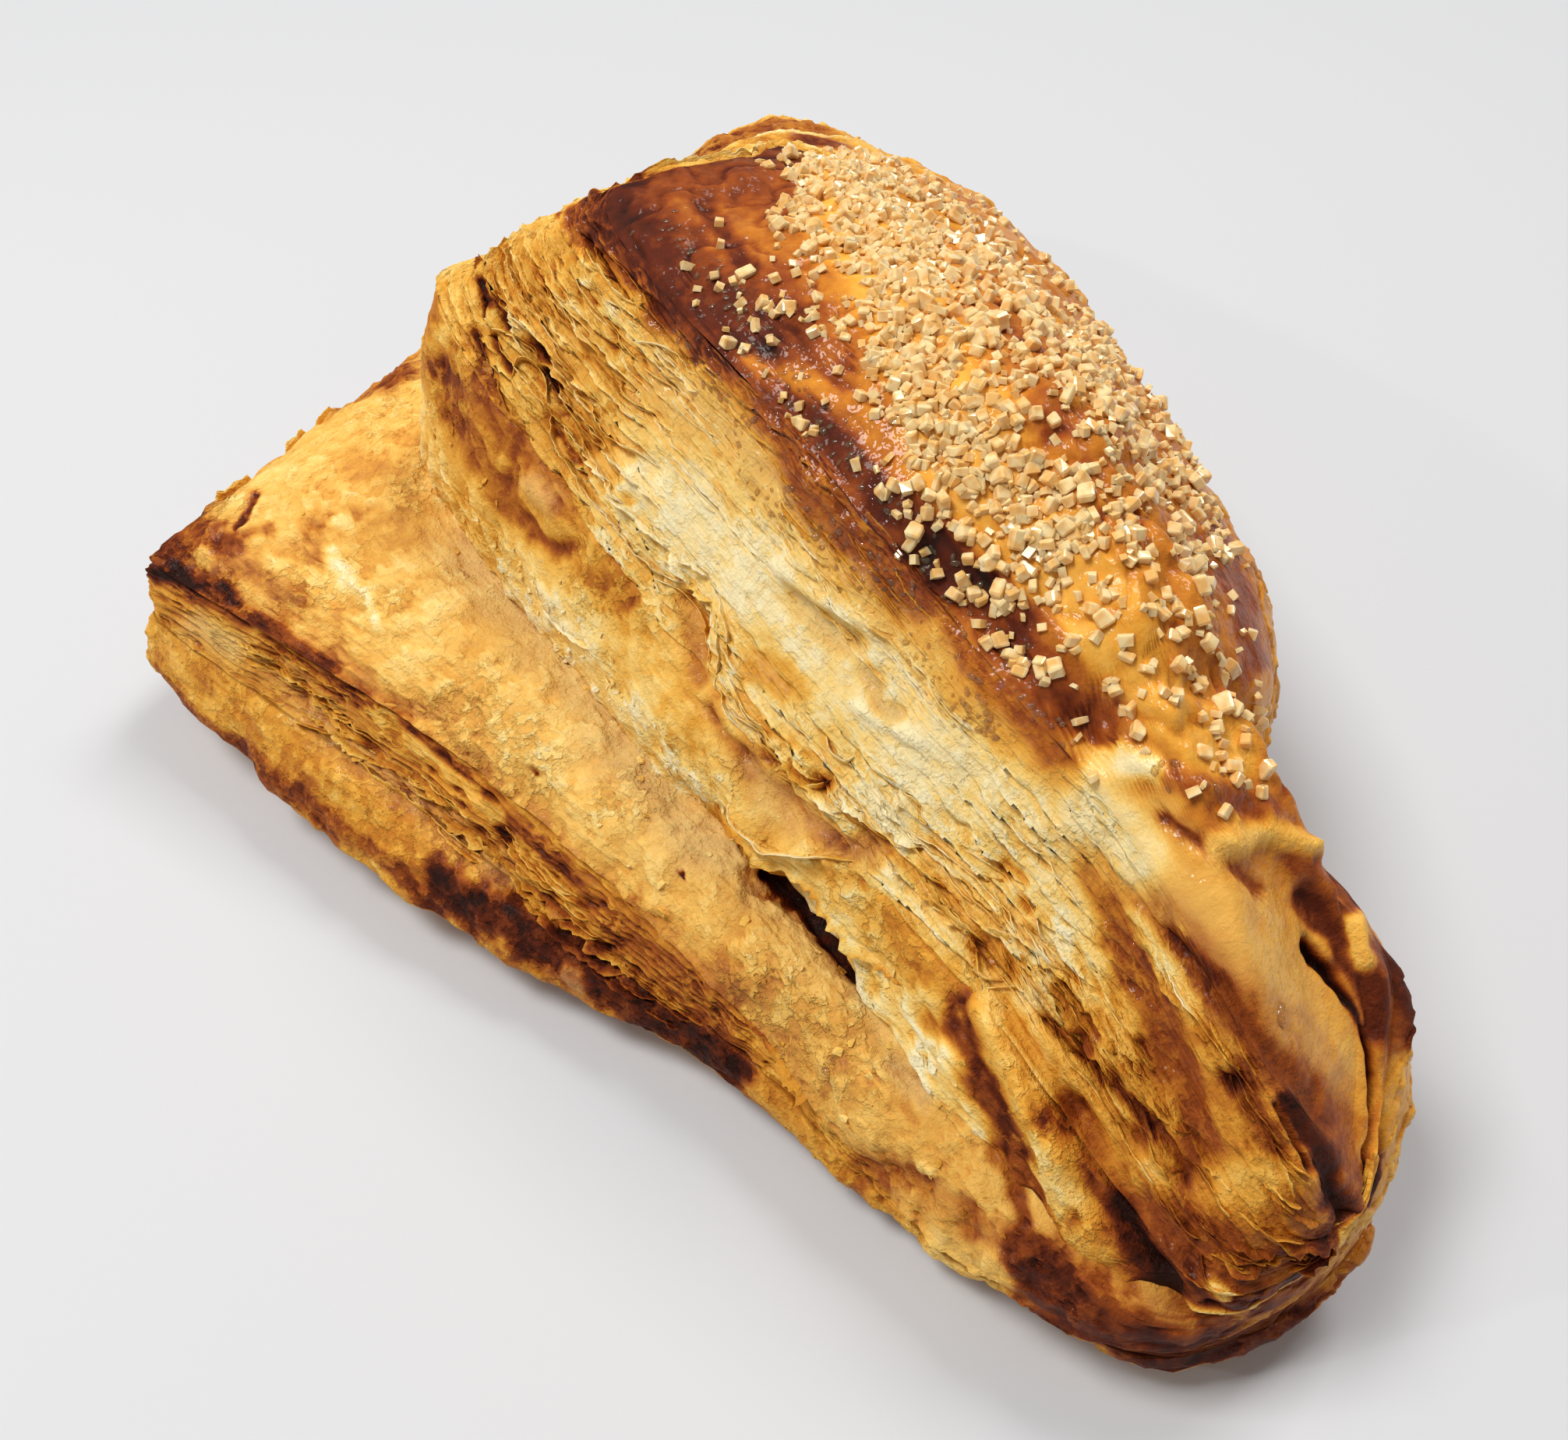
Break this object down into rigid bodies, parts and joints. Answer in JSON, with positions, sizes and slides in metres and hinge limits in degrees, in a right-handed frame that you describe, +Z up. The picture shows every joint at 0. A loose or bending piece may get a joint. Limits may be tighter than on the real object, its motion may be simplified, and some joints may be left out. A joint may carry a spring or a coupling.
{
  "type": "apple turnover",
  "caption": "Baked triangular puff-pastry turnover with flaky open layers, a glazed ridge and coarse sugar fused on its domed top.",
  "frame": {"origin": "centre of the bounding box, at its bottom, in the plane that the underside rests on", "axes": "+Z up; +Y along the fold, from the narrow front end to the wide back end; -X towards the free corner of the triangle"},
  "size_m": [0.11, 0.1696, 0.0592],
  "materials": {
    "crust": "baked, egg-washed puff pastry: golden to dark brown, flaky at the cut edges, glazed on top, with coarse pale sugar"
  },
  "bodies": {
    "root": {"turnover": "crust"}
  },
  "joints": []
}
